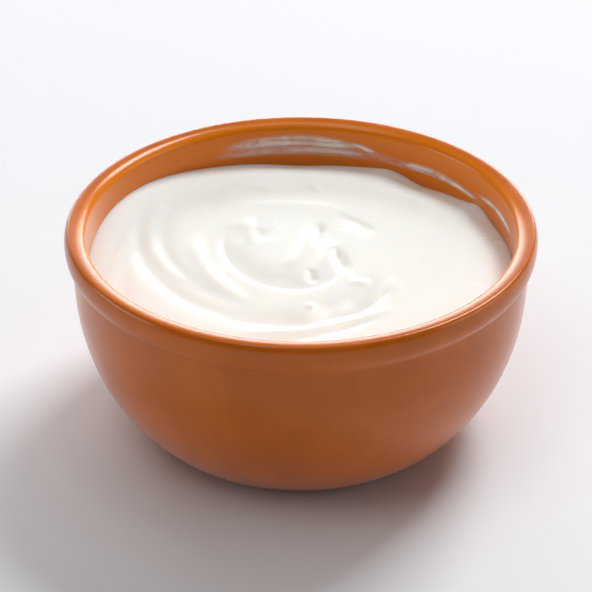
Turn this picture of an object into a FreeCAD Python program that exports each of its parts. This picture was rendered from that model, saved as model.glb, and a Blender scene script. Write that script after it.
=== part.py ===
import FreeCAD
import Part
import math
import os

# A round glazed earthenware bowl, filled with stirred yogurt.
# Millimetres, +Z up.  The origin is on the table, under the bowl's centre,
# and +X is to the right of someone who looks at the bowl along +Y.

# ---- bowl: overall sizes ----
rim_radius = 70.0           # outside of the bead round the rim
bowl_height = 67.0          # table to the crown of the lip
foot_radius = 42.0          # outer edge of the ring that the bowl stands on

# ---- bowl: wall ----
wall = 4.3                  # thickness of the thrown wall
base_thickness = 5.5        # thickness of the floor, over the foot ring
floor_clear = 1.5           # the inside's rounding starts this far above the floor
bead_overhang = 2.1         # how far the bead stands out from the wall under it
upright_height = 18.3       # the wall's upright band, up to the crown of the lip
belly_power = 1.97          # how the belly turns in towards the foot
belly_root = 1.54           # how the belly meets the table
belly_steps = 14
belly_crowding = 1.8        # draws the outline's points together near the table

# ---- bowl: rim ----
bead_depth = 3.95           # from the bead's widest point, up and down
bead_round = 1.5            # from the bead's widest point inwards
neck_blend = 1.7            # height of the hollow under the bead
neck_hollow = 0.3           # how full that hollow is, 0.5 for a straight slope
lip_fall = 3.4              # from the crown down to the inside wall
lip_power = 2.5             # how square the inner edge of the lip is
lip_steps = 7

# ---- bowl: foot ----
foot_ring_width = 6.0
foot_recess = 1.2           # the underside stands clear of the table by this

# ---- yogurt ----
fill_drop = 12.4            # from the crown of the lip to the middle of the yogurt
edge_drop = 14.7            # from the crown of the lip to where the yogurt meets the wall
edge_band = 17.0            # width of the band that turns to the wall's own level
surface_step = 1.6          # spacing of the grid that carries the surface
surface_margin = 2.0        # how far that grid runs on past the wall

# How the line where the yogurt meets the wall rises and dips.
# Each one: direction from the centre, half-width (degrees), height.
edge_waves = [
    (147.0, 32.0, 4.8),
    (90.0, 11.0, -1.2),
    (62.0, 7.0, 1.4),
    (51.0, 8.0, -1.4),
    (28.0, 6.0, 2.2),
    (270.0, 60.0, 1.0),
]

# Sweeps of the spoon, each an arc that may wind in or out, as a spiral does.
# Each one: centre x and y, first and last direction (degrees), first and last
# radius, height (a furrow is negative), half-width inside and outside the arc.
spoon_sweeps = [
    (6.5, 13.2, 160.7, 249.4, 56.4, 55.1, -0.66, 3.9, 2.3),
    (5.7, 2.4, 230.0, 322.0, 47.3, 27.0, -0.95, 6.2, 2.4),
    (0.2, 11.9, 137.0, 240.6, 50.8, 40.9, 0.28, 2.4, 2.1),
    (5.3, 39.0, 251.1, 290.0, 85.9, 71.0, 0.25, 2.0, 1.7),
    (-27.7, 48.8, 274.4, 302.4, 99.9, 97.1, -0.5, 2.8, 1.8),
    (-9.7, 33.3, 196.0, 264.0, 30.9, 62.6, -0.5, 2.8, 3.6),
    (14.0, 16.3, 182.0, 239.9, 45.6, 52.4, 0.44, 2.2, 2.6),
    (8.3, -3.4, 139.2, 287.0, 37.6, 8.6, -1.14, 6.6, 1.3),
    (-11.6, 35.4, 45.0, 214.0, 4.3, 14.1, 0.5, 2.6, 3.4),
    (4.7, -10.5, 69.5, 123.8, 37.0, 46.6, 0.12, 6.0, 2.2),
    (-1.8, -12.8, 44.5, 71.8, 34.8, 39.5, -0.28, 3.6, 1.6),
    (5.7, -9.0, 329.3, 358.5, 36.2, 35.1, -0.12, 1.6, 1.6),
    (-4.6, -19.3, 145.0, 197.2, 51.9, 45.0, -0.4, 2.4, 3.2),
    (6.3, -6.9, 155.0, 193.4, 63.2, 64.4, -0.22, 1.4, 1.4),
]

# Short straight folds and drops, mostly where the spoon was lifted out.
# Each one: first point x and y, last point x and y, height, and half-width to
# the left and to the right of the way from first to last.
spoon_folds = [
    (5.9, 16.6, 5.6, 6.0, -0.85, 1.6, 1.5),
    (10.4, 1.8, 13.0, -9.6, -1.1, 2.0, 1.5),
    (2.8, -9.3, 3.4, -14.5, -0.7, 1.5, 1.5),
    (3.4, 14.5, -2.4, -7.0, 0.45, 2.6, 2.2),
    (9.4, 5.5, 6.4, -5.4, 0.3, 1.8, 1.8),
    (-3.0, -6.9, -6.0, -14.5, -0.3, 3.2, 3.2),
    (-15.6, 20.0, -15.4, 8.1, 0.35, 1.4, 1.8),
    (-19.6, 16.4, -18.0, 8.1, -0.2, 2.4, 3.0),
    (-12.4, 14.7, -12.2, 9.0, -0.35, 2.2, 1.5),
    (-7.0, -38.6, 3.0, -38.6, -0.4, 4.0, 1.6),
    (6.0, -34.6, 20.0, -29.0, -0.85, 7.5, 2.0),
    (20.5, -28.0, 26.0, -16.0, 0.35, 1.6, 3.0),
    (3.0, 44.0, 6.0, 39.6, 0.45, 1.6, 1.6),
    (35.6, 34.4, 38.0, 32.0, 0.3, 1.3, 1.3),
    (1.6, -28.0, 4.0, -29.6, 0.3, 1.3, 1.3),
    (15.0, -15.6, 19.6, -16.6, 0.35, 1.5, 1.5),
]
sweep_fade = 0.3            # share of a sweep's length over which each end dies out
fold_fade = 0.6             # the same for a fold, which also runs on past its points
fold_run_on = 0.3


def ease(share):
    """0 below 0, 1 above 1 and a smooth run between them."""
    share = min(max(share, 0.0), 1.0)
    return share * share * (3.0 - 2.0 * share)


def sweep_height(x, y, sweep):
    """Height that one sweep adds at a point."""
    cx, cy, first, last, first_radius, last_radius, height, inside, outside = sweep
    middle = 0.5 * (first + last)
    direction = math.degrees(math.atan2(y - cy, x - cx))
    direction += 360.0 * round((middle - direction) / 360.0)
    along = (direction - first) / (last - first)
    off = math.hypot(x - cx, y - cy) - first_radius - (last_radius - first_radius) * along
    width = outside if off > 0.0 else inside
    fade = ease(along / sweep_fade) * ease((1.0 - along) / sweep_fade)
    return height * fade * math.exp(-(off / width) ** 2)


def fold_height(x, y, fold):
    """Height that one fold adds at a point."""
    x0, y0, x1, y1, height, left, right = fold
    length = math.hypot(x1 - x0, y1 - y0)
    way_x = (x1 - x0) / length
    way_y = (y1 - y0) / length
    along = ((x - x0) * way_x + (y - y0) * way_y) / length
    off = (y - y0) * way_x - (x - x0) * way_y
    width = left if off > 0.0 else right
    fade = ease((along + fold_run_on) / fold_fade) * ease((1.0 + fold_run_on - along) / fold_fade)
    return height * fade * math.exp(-(off / width) ** 2)


def edge_wave(direction):
    """Rise or dip of the yogurt's edge in one direction from the centre."""
    total = 0.0
    for middle, half_width, height in edge_waves:
        away = (direction - middle + 180.0) % 360.0 - 180.0
        total += height * math.exp(-(away / half_width) ** 2)
    return total


def yogurt_level(x, y):
    """Height of the yogurt's surface over the table."""
    out = math.hypot(x, y)
    direction = math.degrees(math.atan2(y, x))
    turn = max(0.0, out - (cavity_radius - edge_band)) / edge_band
    middle_level = bowl_height - fill_drop
    edge_level = bowl_height - edge_drop + edge_wave(direction)
    level = middle_level + (edge_level - middle_level) * turn ** 2
    calm = max(0.0, 1.0 - turn ** 4)
    relief = sum(sweep_height(x, y, sweep) for sweep in spoon_sweeps)
    relief += sum(fold_height(x, y, fold) for fold in spoon_folds)
    return level + calm * relief


# ---- sizes that follow from the ones above ----
neck_radius = rim_radius - bead_overhang
cavity_radius = neck_radius - wall
straight_z = bowl_height - upright_height
bead_z = bowl_height - bead_depth
bead_centre = rim_radius - bead_round
lip_bottom_z = bowl_height - lip_fall


def point(radius, z):
    """A point of the bowl's outline, in the XZ plane."""
    return FreeCAD.Vector(radius, 0.0, z)


def belly_radius(z):
    """Outside radius of the bowl below its upright band."""
    drop = (straight_z - z) / straight_z
    share = (1.0 - drop ** belly_power) ** (1.0 / belly_root)
    return foot_radius + (neck_radius - foot_radius) * share


def belly_heights():
    """Heights of the outline's points, closer together near the table."""
    return [straight_z * (i / belly_steps) ** belly_crowding for i in range(belly_steps + 1)]


def spline(points, start, end):
    """A smooth edge through points, with its end directions given."""
    curve = Part.BSplineCurve()
    curve.interpolate(points, InitialTangent=start, FinalTangent=end)
    return curve.toShape()


def outer_wall():
    """The belly, from the foot ring to the upright band."""
    points = [point(belly_radius(z), z) for z in belly_heights()]
    return spline(points, FreeCAD.Vector(1.0, 0.0, 0.0), FreeCAD.Vector(0.0, 0.0, 1.0))


def inner_wall_points():
    """The inside of the wall, one wall thickness in from the belly."""
    points = [point(foot_radius - foot_ring_width, base_thickness)]
    nudge = 0.01
    for z in belly_heights()[1:-1]:
        slope_r = belly_radius(z + nudge) - belly_radius(z - nudge)
        slope_z = 2.0 * nudge
        length = math.hypot(slope_r, slope_z)
        radius = belly_radius(z) - wall * slope_z / length
        height = z + wall * slope_r / length
        if height > base_thickness + floor_clear:
            points.append(point(radius, height))
    points.append(point(cavity_radius, straight_z))
    return points


def lip_points():
    """The lip, from its crown over to the inside wall."""
    points = []
    reach = bead_centre - cavity_radius
    for i in range(lip_steps + 1):
        turn = 0.5 * math.pi * i / lip_steps
        radius = bead_centre - reach * math.sin(turn) ** (2.0 / lip_power)
        z = lip_bottom_z + lip_fall * math.cos(turn) ** (2.0 / lip_power)
        points.append(point(radius, z))
    points[-1] = point(cavity_radius, lip_bottom_z)
    return points


def bead_edges():
    """The hollow under the bead, then the bead's round outside."""
    low = bead_z - bead_depth
    neck = point(neck_radius, low - neck_blend)
    reach = bead_centre - neck_radius
    hollow = point(neck_radius + neck_hollow * reach, low - neck_hollow * neck_blend)
    under = point(bead_centre, low)
    fillet = spline([neck, hollow, under], FreeCAD.Vector(0, 0, 1), FreeCAD.Vector(1, 0, 0))
    ellipse = Part.Ellipse(point(bead_centre, bead_z + bead_depth), point(rim_radius, bead_z),
                           point(bead_centre, bead_z))
    bead = Part.ArcOfEllipse(ellipse, 0.0, math.pi).toShape()
    return [fillet, bead]


def foot_edges():
    """The flat foot ring and the recess inside it."""
    ring_inside = foot_radius - foot_ring_width
    recess_edge = ring_inside - foot_recess
    return [
        Part.makeLine(point(0.0, foot_recess), point(recess_edge, foot_recess)),
        Part.makeLine(point(recess_edge, foot_recess), point(ring_inside, 0.0)),
        Part.makeLine(point(ring_inside, 0.0), point(foot_radius, 0.0)),
    ]


def cavity_edges():
    """The inside of the bowl, from the middle of its floor up to the lip."""
    inner = inner_wall_points()
    floor = Part.makeLine(point(0.0, base_thickness), inner[0])
    wall_edge = spline(inner, FreeCAD.Vector(1, 0, 0), FreeCAD.Vector(0, 0, 1))
    upright = Part.makeLine(inner[-1], point(cavity_radius, lip_bottom_z))
    return [floor, wall_edge, upright]


def revolve(edges):
    """A solid turned about the Z axis from a closed outline."""
    wire = Part.Wire(Part.__sortEdges__(edges))
    face = Part.Face(wire)
    solid = face.revolve(FreeCAD.Vector(0, 0, 0), FreeCAD.Vector(0, 0, 1), 360.0)
    if solid.Volume < 0.0:
        solid.reverse()
    return solid


def make_bowl():
    """The bowl, one piece of fired clay."""
    under_bead = point(neck_radius, bead_z - bead_depth - neck_blend)
    upright = Part.makeLine(point(neck_radius, straight_z), under_bead)
    lip = spline(lip_points(), FreeCAD.Vector(-1, 0, 0), FreeCAD.Vector(0, 0, -1))
    axis = Part.makeLine(point(0.0, foot_recess), point(0.0, base_thickness))
    edges = foot_edges() + [outer_wall(), upright] + bead_edges() + [lip]
    return revolve(edges + cavity_edges() + [axis])


def make_yogurt():
    """The yogurt, which fills the cavity up to its stirred surface."""
    top = point(cavity_radius, lip_bottom_z)
    lid = Part.makeLine(top, point(0.0, lip_bottom_z))
    axis = Part.makeLine(point(0.0, lip_bottom_z), point(0.0, base_thickness))
    cavity = revolve(cavity_edges() + [lid, axis])
    reach = surface_step * math.ceil((cavity_radius + surface_margin) / surface_step)
    count = int(round(2.0 * reach / surface_step)) + 1
    places = [-reach + i * surface_step for i in range(count)]
    rows = [[FreeCAD.Vector(x, y, yogurt_level(x, y)) for y in places] for x in places]
    surface = Part.BSplineSurface()
    surface.interpolate(rows)
    below = surface.toShape().extrude(FreeCAD.Vector(0, 0, -bowl_height))
    return cavity.common(below).Solids[0]


os.makedirs("parts", exist_ok=True)
for name, solid in (("bowl", make_bowl()), ("yogurt", make_yogurt())):
    solid.exportStep("parts/" + name + ".step")
    print(name, "volume", round(solid.Volume / 1000.0, 1), "cm3", "valid", solid.isValid())
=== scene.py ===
import math

import bpy
import numpy as np
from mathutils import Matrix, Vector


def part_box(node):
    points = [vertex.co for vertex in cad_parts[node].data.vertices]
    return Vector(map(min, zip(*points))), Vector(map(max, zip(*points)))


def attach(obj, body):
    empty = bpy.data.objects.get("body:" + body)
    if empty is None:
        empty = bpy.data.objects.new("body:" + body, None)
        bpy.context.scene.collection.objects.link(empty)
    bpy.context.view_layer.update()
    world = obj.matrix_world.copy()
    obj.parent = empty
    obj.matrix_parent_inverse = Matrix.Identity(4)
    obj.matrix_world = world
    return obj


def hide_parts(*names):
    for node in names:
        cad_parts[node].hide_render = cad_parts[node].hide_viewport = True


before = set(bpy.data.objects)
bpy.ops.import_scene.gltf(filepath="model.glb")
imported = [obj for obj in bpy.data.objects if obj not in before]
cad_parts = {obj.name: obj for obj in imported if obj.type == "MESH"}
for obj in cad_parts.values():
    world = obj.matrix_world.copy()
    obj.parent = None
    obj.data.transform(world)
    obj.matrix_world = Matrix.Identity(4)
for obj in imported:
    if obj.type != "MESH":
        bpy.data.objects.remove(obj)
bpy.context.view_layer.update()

# ---------------------------------------------------------------------------
# The camera. It looks down on the bowl from in front, at the height of
# someone who sits at the table. Lengths in this file are in metres.
# ---------------------------------------------------------------------------
camera_tilt = math.radians(32.04)
camera_distance = 0.5016
camera_aim = (-0.00146, 0.0, 0.0397)
camera_data = bpy.data.cameras.new("camera")
camera_data.lens = 100.0
camera_data.sensor_width = 36.0
camera_data.clip_start = 0.01
camera = bpy.data.objects.new("camera", camera_data)
camera.location = (
    camera_aim[0],
    camera_aim[1] - camera_distance * math.cos(camera_tilt),
    camera_aim[2] + camera_distance * math.sin(camera_tilt),
)
camera.rotation_euler = (math.pi / 2.0 - camera_tilt, 0.0, 0.0)
bpy.context.scene.collection.objects.link(camera)
bpy.context.scene.camera = camera
bpy.context.scene.view_settings.view_transform = "Standard"


# ---------------------------------------------------------------------------
# The table and the light. A white matt table top, a large soft window high
# behind to the right, a wide low one behind, and pale walls at both sides.
# Little comes from in front, so the front of the bowl stays in its own shade.
# ---------------------------------------------------------------------------
class Wire:
    """A value, colour or direction inside a finish. Sums on wires add Math nodes."""

    def __init__(self, tree, socket=None):
        self.tree = tree
        self.socket = socket

    def add(self, kind, settings=None, sockets=None, output=0):
        """Adds a node: its type, its settings, then the values or wires of its sockets."""
        node = self.tree.nodes.new(kind)
        for name, value in (settings or {}).items():
            setattr(node, name, value)
        for name, value in (sockets or {}).items():
            if isinstance(value, Wire):
                self.tree.links.new(value.socket, node.inputs[name])
            else:
                node.inputs[name].default_value = value
        return Wire(self.tree, node.outputs[output]) if len(node.outputs) else None

    def math(self, operation, first, second=0.0):
        return self.add("ShaderNodeMath", {"operation": operation}, {0: first, 1: second})

    def mix(self, first, second, factor):
        """Runs from the first colour to the second as factor goes from 0 to 1."""
        return self.add("ShaderNodeMix", {"data_type": "RGBA"}, {0: factor, 6: first, 7: second}, 2)

    def ramp(self, low, high, run="SMOOTHSTEP"):
        """0 below low, 1 above high and a smooth or LINEAR run between them."""
        settings = {"interpolation_type": run}
        return self.add("ShaderNodeMapRange", settings, {"Value": self, "From Min": low, "From Max": high})

    def noise(self, scale, detail, roughness):
        """Soft random patches over the places that this wire carries."""
        sockets = {"Vector": self, "Scale": scale, "Detail": detail, "Roughness": roughness}
        return self.add("ShaderNodeTexNoise", {}, sockets)

    def stretch(self, by):
        """The places that this wire carries, multiplied by three numbers."""
        return self.add("ShaderNodeVectorMath", {"operation": "MULTIPLY"}, {0: self, 1: by})

    def from_axis(self):
        """How far the places that this wire carries are from the upright axis of the bowl."""
        level_place = self.stretch((1.0, 1.0, 0.0))
        return self.add("ShaderNodeVectorMath", {"operation": "LENGTH"}, {0: level_place}, "Value")

    def __add__(self, other):
        return self.math("ADD", self, other)

    def __radd__(self, other):
        return self.math("ADD", other, self)

    def __sub__(self, other):
        return self.math("SUBTRACT", self, other)

    def __rsub__(self, other):
        return self.math("SUBTRACT", other, self)

    def __mul__(self, other):
        return self.math("MULTIPLY", self, other)

    def __rmul__(self, other):
        return self.math("MULTIPLY", other, self)


def start_finish(name):
    """An empty material and the first wire of its node tree."""
    material = bpy.data.materials.new(name)
    material.use_nodes = True
    material.node_tree.nodes.clear()
    return material, Wire(material.node_tree)


def end_finish(wire, settings, sockets):
    """The shader that all the wires of a finish run to."""
    shader = wire.add("ShaderNodeBsdfPrincipled", settings, sockets)
    wire.add("ShaderNodeOutputMaterial", {}, {"Surface": shader})


def wear(piece, material):
    """Gives a piece this material and no other."""
    piece.data.materials.clear()
    piece.data.materials.append(material)


table_size = 6.0
table_shade = (0.80, 0.81, 0.83, 1.0)
table_white = (0.82, 0.83, 0.85, 1.0)
bpy.ops.object.select_all(action="DESELECT")
bpy.ops.mesh.primitive_plane_add(size=table_size, location=(0.0, 0.0, 0.0))
table = bpy.context.object
table.name = "table_top"
table_finish, wire = start_finish("white_table")
place = wire.add("ShaderNodeTexCoord", output="Object")
cloud = place.noise(3.0, 2.0, 0.5)
table_colour = wire.mix(table_shade, table_white, cloud)
end_finish(wire, {}, {"Base Color": table_colour, "Roughness": 0.9, "Specular IOR Level": 0.0})
wear(table, table_finish)

window_distance = 4.0
window_light = (0.97, 0.985, 1.0)
room_light = (1.0, 0.955, 0.93)
# Name, azimuth and elevation (degrees), width and height, power (watts), colour.
# Azimuth 0 is straight behind the bowl, and 90 is to the right.
soft_windows = [
    ("high_window", 36.0, 50.0, 1.5, 1.5, 116.0, window_light),
    ("pale_backdrop", 0.0, 14.0, 4.6, 1.7, 145.0, window_light),
    ("ceiling", 0.0, 86.0, 2.0, 2.0, 22.0, window_light),
    ("room_front", 180.0, 50.0, 2.4, 2.0, 5.0, room_light),
    ("room_left", -130.0, 66.0, 2.0, 2.0, 26.0, room_light),
    ("left_wall", -92.0, 12.0, 2.6, 1.4, 32.0, window_light),
    ("right_wall", 95.0, 14.0, 2.6, 1.4, 25.0, window_light),
]
for name, azimuth, elevation, width, height, power, colour in soft_windows:
    light_data = bpy.data.lights.new(name, "AREA")
    light_data.shape = "RECTANGLE"
    light_data.size = width
    light_data.size_y = height
    light_data.energy = power
    light_data.color = colour
    light = bpy.data.objects.new(name, light_data)
    turn = math.radians(azimuth)
    rise = math.radians(elevation)
    light.location = (
        window_distance * math.sin(turn) * math.cos(rise),
        window_distance * math.cos(turn) * math.cos(rise),
        window_distance * math.sin(rise),
    )
    light.rotation_euler = (-(math.pi / 2.0 - rise), 0.0, -turn)
    bpy.context.scene.collection.objects.link(light)
room = bpy.data.worlds.new("room")
room.use_nodes = True
room_glow = room.node_tree.nodes["Background"]
room_glow.inputs["Color"].default_value = (1.0, 0.95, 0.92, 1.0)
room_glow.inputs["Strength"].default_value = 0.02
bpy.context.scene.world = room


# ---------------------------------------------------------------------------
# The bowl. One piece of red clay, thrown on a wheel: a flat foot ring, a
# round belly, an upright band and a bead rolled out round the lip. It is
# dipped in an orange-brown glaze and fired. Its lip and inside are painted
# paler: painted light for the light that falls on the inner wall.
# ---------------------------------------------------------------------------
bowl_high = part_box("bowl")[1]
rim_radius = round(bowl_high.x, 4)
bowl_height = round(bowl_high.z, 4)
foot_radius = 0.042
wall = 0.0043
base_thickness = 0.0055
bead_overhang = 0.0021
upright_height = 0.0183
belly_power = 1.97
belly_root = 1.54
bead_depth = 0.00395
bead_round = 0.0015
neck_blend = 0.0017
lip_fall = 0.0034
lip_power = 2.5
foot_ring_width = 0.006
foot_recess = 0.0012
foot_edge = 0.0003
floor_clear = 0.0015
belly_crowding = 1.8
belly_steps = 22
turns_around = 192
neck_radius = rim_radius - bead_overhang
cavity_radius = neck_radius - wall
straight_z = bowl_height - upright_height
bead_z = bowl_height - bead_depth
bead_centre = rim_radius - bead_round
lip_bottom_z = bowl_height - lip_fall


def belly_radius(z):
    """Outside radius of the bowl below its upright band."""
    drop = (straight_z - z) / straight_z
    share = (1.0 - drop ** belly_power) ** (1.0 / belly_root)
    return foot_radius + (neck_radius - foot_radius) * share


def belly_heights(steps):
    """Heights up the belly, closer together near the foot, where it curves most."""
    return [straight_z * (i / steps) ** belly_crowding for i in range(steps + 1)]


def cavity_wall(steps):
    """The inside of the wall, from its floor up: (radius, height) pairs."""
    places = []
    nudge = 0.00001
    for z in belly_heights(steps)[1:-1]:
        slope = belly_radius(z + nudge) - belly_radius(z - nudge)
        length = math.hypot(slope, 2.0 * nudge)
        height = z + wall * slope / length
        if height > base_thickness + floor_clear:
            places.append((belly_radius(z) - wall * 2.0 * nudge / length, height))
    places.append((cavity_radius, straight_z))
    return places


def bowl_outline():
    """(radius, height) pairs from the foot ring, up the outside, over the lip and down the inside."""
    quarter = math.pi / 2.0
    places = [(foot_radius - foot_edge, 0.0)]
    places += [(belly_radius(z), z) for z in belly_heights(belly_steps)[1:]]
    # The upright band and the hollow that turns out under the bead.
    bead_low = bead_z - bead_depth
    band_steps = 3
    for i in range(1, band_steps + 1):
        places.append((neck_radius, straight_z + i * (bead_low - neck_blend - straight_z) / band_steps))
    reach = bead_centre - neck_radius
    hollow_steps = 6
    for i in range(1, hollow_steps):
        turn = quarter * i / hollow_steps
        out = neck_radius + reach * (1.0 - math.cos(turn))
        places.append((out, bead_low - neck_blend * (1.0 - math.sin(turn))))
    # The bead, half an oval, and the lip, a quarter of a squarish one.
    bead_steps = 12
    for i in range(bead_steps + 1):
        turn = math.pi * (1.0 - i / bead_steps)
        places.append((bead_centre + bead_round * math.sin(turn), bead_z + bead_depth * math.cos(turn)))
    reach = bead_centre - cavity_radius
    lip_steps = 10
    for i in range(1, lip_steps + 1):
        turn = quarter * i / lip_steps
        share_in = math.sin(turn) ** (2.0 / lip_power)
        share_down = max(math.cos(turn), 0.0) ** (2.0 / lip_power)
        places.append((bead_centre - reach * share_in, lip_bottom_z + lip_fall * share_down))
    # The upright inside of the wall, and the inside of the belly down to the floor.
    wall_steps = 6
    for i in range(wall_steps - 1, 0, -1):
        places.append((cavity_radius, straight_z + i * (lip_bottom_z - straight_z) / wall_steps))
    places += reversed(cavity_wall(belly_steps))
    places.append((foot_radius - foot_ring_width, base_thickness))
    return places


def turn_on_wheel(name, outline, around):
    """Draws a clay ring up through an outline, as on a wheel. Its middle stays open."""
    bpy.ops.object.select_all(action="DESELECT")
    first_radius, first_z = outline[0]
    bpy.ops.mesh.primitive_circle_add(vertices=around, radius=first_radius, location=(0.0, 0.0, 0.0))
    piece = bpy.context.object
    piece.name = name
    bpy.ops.object.mode_set(mode="EDIT")
    bpy.ops.mesh.select_all(action="SELECT")
    bpy.ops.transform.translate(value=(0.0, 0.0, first_z))
    radius, z = first_radius, first_z
    for next_radius, next_z in outline[1:]:
        bpy.ops.mesh.extrude_region_move(TRANSFORM_OT_translate={"value": (0.0, 0.0, next_z - z)})
        scale = next_radius / radius
        bpy.ops.transform.resize(value=(scale, scale, 1.0), center_override=(0.0, 0.0, 0.0))
        radius, z = next_radius, next_z
    return piece


def close_middle(scales):
    """Draws the selected ring in to the axis in a few steps and closes it there."""
    for scale in scales:
        bpy.ops.mesh.extrude_region_move()
        bpy.ops.transform.resize(value=(scale, scale, 1.0), center_override=(0.0, 0.0, 0.0))
    bpy.ops.mesh.extrude_region_move()
    bpy.ops.mesh.merge(type="CENTER")


floor_rings = (0.7, 0.5)
recess_rings = (0.6, 0.4)
close_enough = 1e-5
bowl = turn_on_wheel("glazed_bowl", bowl_outline(), turns_around)
close_middle(floor_rings)
# The foot: the first ring, drawn in under the base and up into its recess.
bpy.ops.mesh.select_all(action="DESELECT")
bpy.ops.object.mode_set(mode="OBJECT")
for vertex in bowl.data.vertices:
    vertex.select = vertex.co.z < close_enough and vertex.co.xy.length > 0.9 * foot_radius
bpy.ops.object.mode_set(mode="EDIT")
ring_inside = foot_radius - foot_ring_width
foot_scale = ring_inside / (foot_radius - foot_edge)
bpy.ops.mesh.extrude_region_move()
bpy.ops.transform.resize(value=(foot_scale, foot_scale, 1.0), center_override=(0.0, 0.0, 0.0))
bpy.ops.mesh.extrude_region_move(TRANSFORM_OT_translate={"value": (0.0, 0.0, foot_recess)})
recess_scale = (ring_inside - foot_recess) / ring_inside
bpy.ops.transform.resize(value=(recess_scale, recess_scale, 1.0), center_override=(0.0, 0.0, 0.0))
close_middle(recess_rings)
bpy.ops.mesh.select_all(action="SELECT")
bpy.ops.mesh.remove_doubles(threshold=0.1 * close_enough)
bpy.ops.mesh.normals_make_consistent(inside=False)
bpy.ops.object.mode_set(mode="OBJECT")
smooth = bowl.modifiers.new("smooth", "SUBSURF")
smooth.levels = 1
smooth.render_levels = 1
bpy.ops.object.modifier_apply(modifier="smooth")
bpy.ops.object.shade_smooth()

glaze_deep = (0.54, 0.118, 0.004, 1.0)
glaze_pale = (0.60, 0.134, 0.006, 1.0)
glaze_dark = (0.40, 0.076, 0.003, 1.0)
# Painted light: this paler orange stands in for the light that falls inside the bowl.
glaze_inside_painted_light = (0.84, 0.225, 0.006, 1.0)
glaze, wire = start_finish("orange_glaze")
place = wire.add("ShaderNodeTexCoord", output="Object")
cloud = place.noise(45.0, 3.0, 0.6)
speck = place.noise(900.0, 2.0, 0.6)
colour = wire.mix(glaze_deep, glaze_pale, cloud.ramp(0.35, 0.65))
colour = wire.mix(colour, glaze_dark, speck.ramp(0.62, 0.80) * 0.35)
# Painted light: the glaze is painted paler over the lip and inside, for the light that falls on the inner
# wall while the outside stays in shade.
painted_light_from, painted_light_to = neck_radius - 0.0008, cavity_radius + 0.0004
above_belly = wire.add("ShaderNodeSeparateXYZ", {}, {0: place}, "Z").ramp(straight_z - 0.006, straight_z)
colour = wire.mix(colour, glaze_inside_painted_light, above_belly * (1.0 - place.from_axis().ramp(painted_light_to, painted_light_from)))
dullness = 0.17 + cloud * 0.07
skin = wire.add("ShaderNodeBump", {}, {"Strength": 0.12, "Distance": 0.0004, "Height": speck})
end_finish(
    wire,
    {},
    {
        "Base Color": colour,
        "Roughness": dullness,
        "Normal": skin,
        "Specular IOR Level": 0.34,
        "Sheen Weight": 0.22,
        "Sheen Roughness": 0.35,
    },
)
wear(bowl, glaze)
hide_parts("bowl")
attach(bowl, "root")


# ---------------------------------------------------------------------------
# The yogurt. Thick, wet and stirred: a spoon was drawn round it and left
# furrows with a soft crest beside each, a mound in the middle, and a margin
# that climbs the wall at the back left. It sets against the glaze all round.
# ---------------------------------------------------------------------------
mm = 0.001
fill_drop = 12.4 * mm
edge_drop = 14.7 * mm
edge_band = 17.0 * mm
into_wall = 0.25 * mm
cells = 250

# Direction from the centre, half-width (degrees) and height (mm) of each rise
# or dip of the line where the yogurt meets the wall. Direction 0 is to the
# right and 90 is to the back.
edge_waves = [
    (147.0, 32.0, 4.8),
    (90.0, 11.0, -1.2),
    (62.0, 7.0, 1.4),
    (51.0, 8.0, -1.4),
    (28.0, 6.0, 2.2),
    (270.0, 60.0, 1.0),
]

# Sweeps of the spoon, each an arc that winds in or out: centre x and y (mm),
# first and last direction (degrees), first and last radius (mm), height (a
# furrow is negative), half-width inside and outside the arc (mm).
sweeps = [
    (6.5, 13.2, 160.7, 249.4, 56.4, 55.1, -0.66, 3.9, 2.3),
    (5.7, 2.4, 230.0, 322.0, 47.3, 27.0, -0.95, 6.2, 2.4),
    (0.2, 11.9, 137.0, 240.6, 50.8, 40.9, 0.28, 2.4, 2.1),
    (5.3, 39.0, 251.1, 290.0, 85.9, 71.0, 0.25, 2.0, 1.7),
    (-27.7, 48.8, 274.4, 302.4, 99.9, 97.1, -0.5, 2.8, 1.8),
    (-9.7, 33.3, 196.0, 264.0, 30.9, 62.6, -0.5, 2.8, 3.6),
    (14.0, 16.3, 182.0, 239.9, 45.6, 52.4, 0.44, 2.2, 2.6),
    (8.3, -3.4, 139.2, 287.0, 37.6, 8.6, -1.14, 6.6, 1.3),
    (-11.6, 35.4, 45.0, 214.0, 4.3, 14.1, 0.5, 2.6, 3.4),
    (4.7, -10.5, 69.5, 123.8, 37.0, 46.6, 0.12, 6.0, 2.2),
    (-1.8, -12.8, 44.5, 71.8, 34.8, 39.5, -0.28, 3.6, 1.6),
    (5.7, -9.0, 329.3, 358.5, 36.2, 35.1, -0.12, 1.6, 1.6),
    (-4.6, -19.3, 145.0, 197.2, 51.9, 45.0, -0.4, 2.4, 3.2),
    (6.3, -6.9, 155.0, 193.4, 63.2, 64.4, -0.22, 1.4, 1.4),
]

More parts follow.
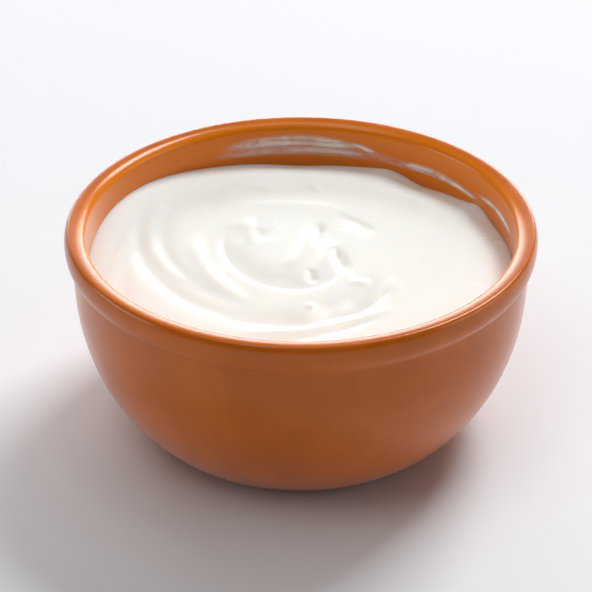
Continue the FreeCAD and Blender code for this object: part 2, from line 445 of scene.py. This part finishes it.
# Short straight folds in the middle, where the spoon was lifted out: first
# and last point x and y, height and half-width (mm).
folds = [
    (5.9, 16.6, 5.6, 6.0, -0.85, 1.6, 1.5),
    (10.4, 1.8, 13.0, -9.6, -1.1, 2.0, 1.5),
    (2.8, -9.3, 3.4, -14.5, -0.7, 1.5, 1.5),
    (3.4, 14.5, -2.4, -7.0, 0.45, 2.6, 2.2),
    (9.4, 5.5, 6.4, -5.4, 0.3, 1.8, 1.8),
    (-3.0, -6.9, -6.0, -14.5, -0.3, 3.2, 3.2),
    (-15.6, 20.0, -15.4, 8.1, 0.35, 1.4, 1.8),
    (-19.6, 16.4, -18.0, 8.1, -0.2, 2.4, 3.0),
    (-12.4, 14.7, -12.2, 9.0, -0.35, 2.2, 1.5),
    (-7.0, -38.6, 3.0, -38.6, -0.4, 4.0, 1.6),
    (6.0, -34.6, 20.0, -29.0, -0.85, 7.5, 2.0),
    (20.5, -28.0, 26.0, -16.0, 0.35, 1.6, 3.0),
    (3.0, 44.0, 6.0, 39.6, 0.45, 1.6, 1.6),
    (35.6, 34.4, 38.0, 32.0, 0.3, 1.3, 1.3),
    (1.6, -28.0, 4.0, -29.6, 0.3, 1.3, 1.3),
    (15.0, -15.6, 19.6, -16.6, 0.35, 1.5, 1.5),
]

# The share of its length in which a sweep or a fold starts and ends, how far a
# fold runs on past its ends, and where the margin stops to climb, just past
# the wall.
sweep_fade = 0.3
fold_fade = 0.6
fold_run_on = 0.3
edge_overrun = 1.02


def smooth_step(share):
    """An even start and end: 0 below 0, 1 above 1."""
    share = np.clip(share, 0.0, 1.0)
    return share * share * (3.0 - 2.0 * share)


def sweep_height(x, y, sweep):
    """Height (mm) that one sweep adds at points in mm; it fades out at both its ends."""
    cx, cy, first, last, first_radius, last_radius, height, inside, outside = sweep
    before = 60.0
    past_first = (np.degrees(np.arctan2(y - cy, x - cx)) - first + before) % 360.0 - before
    along = past_first / (last - first)
    radius = first_radius + (last_radius - first_radius) * along
    off = np.hypot(x - cx, y - cy) - radius
    width = np.where(off > 0.0, outside, inside)
    fade = smooth_step(along / sweep_fade) * smooth_step((1.0 - along) / sweep_fade)
    return height * fade * np.exp(-(off / width) ** 2)


def fold_height(x, y, fold):
    """Height (mm) that one short fold adds at points in mm; it runs on a little past both its ends."""
    x0, y0, x1, y1, height, left, right = fold
    length = math.hypot(x1 - x0, y1 - y0)
    ux, uy = (x1 - x0) / length, (y1 - y0) / length
    along = ((x - x0) * ux + (y - y0) * uy) / length
    off = (y - y0) * ux - (x - x0) * uy
    width = np.where(off > 0.0, left, right)
    start = smooth_step((along + fold_run_on) / fold_fade)
    fade = start * smooth_step((1.0 + fold_run_on - along) / fold_fade)
    return height * fade * np.exp(-(off / width) ** 2)


def yogurt_level(x, y):
    """Height of the surface over the table, for arrays of places in metres."""
    out = np.hypot(x, y)
    direction = np.degrees(np.arctan2(y, x))
    near_wall = np.clip(out - (cavity_radius - edge_band), 0.0, None) / edge_band
    edge_level = np.full_like(out, bowl_height - edge_drop)
    for middle, half_width, height in edge_waves:
        away = (direction - middle + 180.0) % 360.0 - 180.0
        edge_level += height * mm * np.exp(-(away / half_width) ** 2)
    middle_level = bowl_height - fill_drop
    level = middle_level + (edge_level - middle_level) * np.minimum(near_wall, edge_overrun) ** 2
    relief = sum(sweep_height(x / mm, y / mm, sweep) for sweep in sweeps)
    relief += sum(fold_height(x / mm, y / mm, fold) for fold in folds)
    return level + relief * mm * np.clip(1.0 - near_wall ** 4, 0.0, None)


bpy.ops.object.select_all(action="DESELECT")
bpy.ops.mesh.primitive_grid_add(x_subdivisions=cells, y_subdivisions=cells, size=2.0)
yogurt = bpy.context.object
yogurt.name = "stirred_yogurt"
places = np.empty(len(yogurt.data.vertices) * 3)
yogurt.data.vertices.foreach_get("co", places)
places = places.reshape(-1, 3)
# The square grid becomes a round one: each square ring of it turns to a circle.
across, up = places[:, 0].copy(), places[:, 1].copy()
ring = np.maximum(np.abs(across), np.abs(up))
wide = np.abs(across) >= np.abs(up)
safe = np.where(ring > 0.0, ring, 1.0)
corner = np.where(wide, up, across) / safe * math.pi / 4.0
surface_radius = cavity_radius + into_wall
places[:, 0] = ring * surface_radius * np.where(wide, np.cos(corner) * np.sign(across), np.sin(corner))
places[:, 1] = ring * surface_radius * np.where(wide, np.sin(corner), np.cos(corner) * np.sign(up))
places[:, 2] = yogurt_level(places[:, 0], places[:, 1])
yogurt.data.vertices.foreach_set("co", places.ravel())
yogurt.data.update()
# The rest of the body goes down inside the bowl, just into the wall, and is closed at the floor.
bpy.ops.object.mode_set(mode="EDIT")
bpy.ops.mesh.select_mode(type="EDGE")
bpy.ops.mesh.select_all(action="SELECT")
bpy.ops.mesh.region_to_loop()
body_steps = 10
body_top = straight_z - 1.0 * mm
body_outline = [step for step in reversed(cavity_wall(body_steps)) if step[1] < body_top]
body_outline.append((foot_radius - foot_ring_width, base_thickness))
bpy.ops.mesh.extrude_region_move()
bpy.ops.object.mode_set(mode="OBJECT")
for vertex in yogurt.data.vertices:
    if vertex.select:
        vertex.co.z = straight_z
bpy.ops.object.mode_set(mode="EDIT")
radius, z = surface_radius, straight_z
for next_radius, next_z in body_outline:
    next_radius += into_wall
    bpy.ops.mesh.extrude_region_move(TRANSFORM_OT_translate={"value": (0.0, 0.0, next_z - z)})
    scale = next_radius / radius
    bpy.ops.transform.resize(value=(scale, scale, 1.0), center_override=(0.0, 0.0, 0.0))
    radius, z = next_radius, next_z
bpy.ops.mesh.edge_face_add()
bpy.ops.mesh.select_all(action="SELECT")
bpy.ops.mesh.normals_make_consistent(inside=False)
bpy.ops.mesh.select_mode(type="VERT")
bpy.ops.object.mode_set(mode="OBJECT")
bpy.ops.object.shade_smooth()

cream_deep = (0.890, 0.884, 0.820, 1.0)
cream_pale = (0.905, 0.900, 0.845, 1.0)
# Painted light: a cool tint near the wall that cancels the orange light thrown onto the yogurt from the
# glaze.
counter_bounce_tint = (0.850, 0.890, 0.865, 1.0)
counter_bounce_starts = 38.0 * mm
counter_bounce_full = 62.0 * mm
cream, wire = start_finish("yogurt_cream")
place = wire.add("ShaderNodeTexCoord", output="Object")
cloud = place.noise(60.0, 3.0, 0.5)
fine = place.noise(420.0, 3.0, 0.5)
colour = wire.mix(cream_deep, cream_pale, cloud.ramp(0.3, 0.7))
# Towards the wall the cream is painted cooler, against the orange light bounced from the glaze.
colour = wire.mix(colour, counter_bounce_tint, place.from_axis().ramp(counter_bounce_starts, counter_bounce_full))
dullness = 0.22 + cloud * 0.08
skin = wire.add("ShaderNodeBump", {}, {"Strength": 0.05, "Distance": 0.0003, "Height": fine})
end_finish(
    wire,
    {"subsurface_method": "RANDOM_WALK"},
    {
        "Base Color": colour,
        "Roughness": dullness,
        "Normal": skin,
        "IOR": 1.38,
        "Specular IOR Level": 0.35,
        "Subsurface Weight": 0.6,
        "Subsurface Radius": (1.0, 0.85, 0.5),
        "Subsurface Scale": 0.0025,
    },
)
wear(yogurt, cream)
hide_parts("yogurt")
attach(yogurt, "root")


# ---------------------------------------------------------------------------
# The smears. A thin film of yogurt that the spoon wiped up the inside of the
# wall, at the back and down the right. It is drawn out in level streaks, and
# the glaze shows through where it is thinnest.
# ---------------------------------------------------------------------------
film_steps = 72
film_rows = 12
film_rise = 0.18 * mm
film_root = 0.02 * mm

# Each smear runs along the wall: direction (degrees), height and half-height
# (mm), and how much of the glaze it hides.
smears = [
    [(116, 59.6, 1.4, 0.2), (106, 60.4, 2.5, 0.8), (98, 60.7, 2.7, 1.0), (88, 60.5, 2.7, 1.0),
     (79, 60.0, 2.3, 1.0), (71, 59.2, 1.3, 0.4)],
    [(118, 57.6, 1.6, 0.3), (104, 57.5, 2.2, 0.6), (88, 57.1, 2.3, 0.6),
     (74, 57.0, 2.0, 0.6), (66, 56.0, 1.2, 0.4)],
    [(80, 60.6, 0.6, 0.5), (72, 60.0, 1.3, 0.9), (66, 57.4, 1.7, 0.9), (58, 56.8, 1.8, 0.8),
     (48, 57.2, 1.9, 0.8), (38, 56.8, 1.6, 0.8), (30, 56.0, 1.2, 0.7), (25, 55.0, 0.7, 0.4)],
    [(32, 57.6, 0.6, 0.5), (20, 58.9, 1.5, 0.9), (12, 58.3, 1.7, 0.9),
     (5, 57.6, 1.5, 0.9), (-3, 56.2, 0.9, 0.5)],
]
film_parts = []
for smear in smears:
    bpy.ops.object.select_all(action="DESELECT")
    bpy.ops.mesh.primitive_grid_add(x_subdivisions=film_steps, y_subdivisions=film_rows, size=2.0)
    part = bpy.context.object
    places = np.empty(len(part.data.vertices) * 3)
    part.data.vertices.foreach_get("co", places)
    places = places.reshape(-1, 3)
    along, row = places[:, 0].copy(), places[:, 1].copy()
    turns, heights, halves, covers = np.array(smear, dtype=float).T
    stations = np.linspace(-1.0, 1.0, len(smear))
    turn = np.radians(np.interp(along, stations, turns))
    height = np.interp(along, stations, heights) + row * np.interp(along, stations, halves)
    body = (1.0 - row ** 2) ** 1.5 * (1.0 - along ** 4)
    radius = cavity_radius + film_root - film_rise * body
    places[:, 0] = radius * np.cos(turn)
    places[:, 1] = radius * np.sin(turn)
    places[:, 2] = height * mm
    part.data.vertices.foreach_set("co", places.ravel())
    thickness = part.data.attributes.new("thickness", "FLOAT", "POINT")
    thickness.data.foreach_set("value", body * np.interp(along, stations, covers))
    part.data.update()
    film_parts.append(part)
bpy.ops.object.select_all(action="DESELECT")
for part in film_parts:
    part.select_set(True)
bpy.context.view_layer.objects.active = film_parts[0]
bpy.ops.object.join()
film = bpy.context.object
film.name = "wall_smears"
bpy.ops.object.shade_smooth()

film_thin = (0.96, 0.82, 0.74, 1.0)
film_thick = (0.97, 0.94, 0.90, 1.0)
# Streaks are long along the wall and fine up it.
streak_grain = (45.0, 45.0, 650.0)
film_finish, wire = start_finish("thin_yogurt")
place = wire.add("ShaderNodeTexCoord", output="Object")
streaks = place.stretch(streak_grain).noise(1.0, 2.0, 0.5)
patches = place.noise(130.0, 3.0, 0.6)
thickness = wire.add("ShaderNodeAttribute", {"attribute_name": "thickness"}, output="Fac")
cover = thickness.ramp(0.0, 0.7, "LINEAR") * (streaks + patches * 0.6).ramp(0.48, 0.95) * 0.95
colour = wire.mix(film_thin, film_thick, cover)
dullness = 0.3 + streaks * 0.1
end_finish(wire, {}, {"Base Color": colour, "Roughness": dullness, "Alpha": cover, "IOR": 1.38})
wear(film, film_finish)
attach(film, "root")
